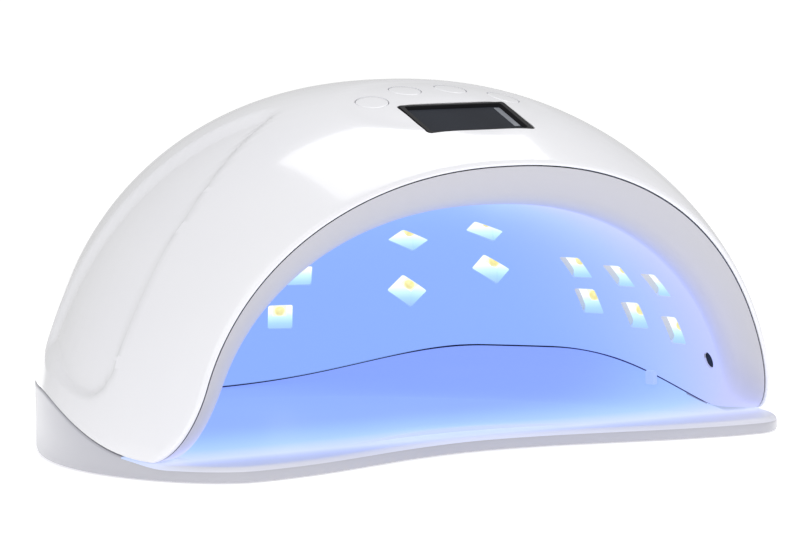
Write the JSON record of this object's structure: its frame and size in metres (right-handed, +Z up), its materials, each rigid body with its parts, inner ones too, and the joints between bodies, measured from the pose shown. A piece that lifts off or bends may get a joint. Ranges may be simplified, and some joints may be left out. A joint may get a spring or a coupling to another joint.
{
  "type": "uv led nail lamp",
  "caption": "Dome-shaped UV LED nail curing lamp with an arched hand opening, LED windows, display, timer buttons and a loose magnetic base tray.",
  "frame": {"origin": "middle of the footprint, on the table under the rubber feet", "axes": "+Z up, the hand opening faces -Y, X runs across the opening"},
  "size_m": [0.235, 0.206, 0.1122],
  "materials": {
    "shell_gloss_white": "high-gloss white ABS",
    "reflector_white": "satin white ABS, light UV reflector",
    "tray_white": "semi-gloss white ABS",
    "led_board_white": "white solder mask on aluminium board",
    "steel": "zinc-plated steel",
    "magnet_nickel": "nickel-plated magnet",
    "rubber_black": "soft rubber",
    "silicone": "translucent silicone",
    "black_plastic": "black moulded plastic",
    "display_glass": "smoked clear window",
    "lcd_dark": "dark blue-grey display module",
    "circuit_board": "green solder mask",
    "led_package": "white LED package with yellow phosphor",
    "led_lens": "clear silicone lens",
    "wire_sleeve": "insulated leads in a sleeve"
  },
  "bodies": {
    "base": {"base_tray": "tray_white", "base_cover": "tray_white", "base_screws": "steel", "rubber_feet": "rubber_black", "tray_magnets": "magnet_nickel"},
    "dome": {"outer_shell": "shell_gloss_white", "inner_reflector": "reflector_white", "dome_rim": "reflector_white", "dome_magnets": "magnet_nickel", "rim_screws": "steel", "display_frame": "black_plastic", "display_window": "display_glass", "lcd_module": "lcd_dark", "button_guide": "reflector_white", "return_pads": "silicone", "tact_switches": "black_plastic", "control_board": "circuit_board", "board_parts": "black_plastic", "led_cups_left": "reflector_white", "led_cups_right": "reflector_white", "led_boards_left": "led_board_white", "led_boards_right": "led_board_white", "led_beads_left": "led_package", "led_beads_right": "led_package", "led_lenses_left": "led_lens", "led_lenses_right": "led_lens", "ir_emitter": "black_plastic", "ir_receiver": "black_plastic", "dc_jack": "black_plastic", "jack_pin": "steel", "wiring_harness": "wire_sleeve"},
    "button_10s": {"button_10s": "shell_gloss_white"},
    "button_30s": {"button_30s": "shell_gloss_white"},
    "button_60s": {"button_60s": "shell_gloss_white"},
    "button_99s": {"button_99s": "shell_gloss_white"}
  },
  "joints": [
    {"name": "dome_lift", "type": "slide", "parent": "base", "child": "dome", "axis": [0, 0, 1], "range_m": [0, 0.12]},
    {"name": "button_10s_press", "type": "slide", "parent": "dome", "child": "button_10s", "axis": [0, 0.2595, -0.9657], "range_m": [0, 0.0008], "stiffness_N_per_m": 900},
    {"name": "button_30s_press", "type": "slide", "parent": "dome", "child": "button_30s", "axis": [0, 0.2595, -0.9657], "range_m": [0, 0.0008], "stiffness_N_per_m": 900},
    {"name": "button_60s_press", "type": "slide", "parent": "dome", "child": "button_60s", "axis": [0, 0.2595, -0.9657], "range_m": [0, 0.0008], "stiffness_N_per_m": 900},
    {"name": "button_99s_press", "type": "slide", "parent": "dome", "child": "button_99s", "axis": [0, 0.2595, -0.9657], "range_m": [0, 0.0008], "stiffness_N_per_m": 900}
  ]
}
